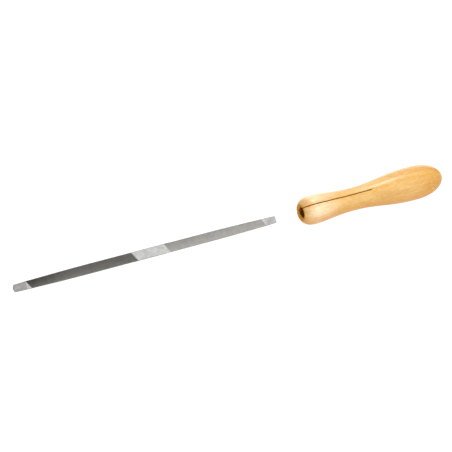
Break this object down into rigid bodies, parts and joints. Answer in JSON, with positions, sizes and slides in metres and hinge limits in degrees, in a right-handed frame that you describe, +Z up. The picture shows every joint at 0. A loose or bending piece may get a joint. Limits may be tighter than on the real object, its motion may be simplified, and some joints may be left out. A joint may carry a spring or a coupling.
{
  "type": "double-ended saw file with split wooden handle",
  "caption": "Slim triangular saw file that cuts at either end, drawn down to smooth tips, with a separate turned wooden handle whose slit socket grips the tip.",
  "frame": {"origin": "middle of the object's box, on the surface that it lies on", "axes": "+X from the file's free tip towards the handle's tail, +Z up; the tool axis rises 2.31 degrees towards the handle, in the XZ plane"},
  "size_m": [0.3478, 0.0262, 0.0277],
  "materials": {
    "file_steel": "hardened bare steel: single-cut teeth on both halves of each face, smooth ground middle and tips",
    "varnished_wood": "turned light hardwood under clear golden varnish, darker at the cut mouth"
  },
  "bodies": {
    "handle": {"wood_handle": "varnished_wood"},
    "file": {"saw_file": "file_steel"}
  },
  "joints": [
    {"name": "file_slide", "type": "slide", "parent": "handle", "child": "file", "axis": [0.9992, 0, 0.0403], "range_m": [0, 0.072]}
  ]
}
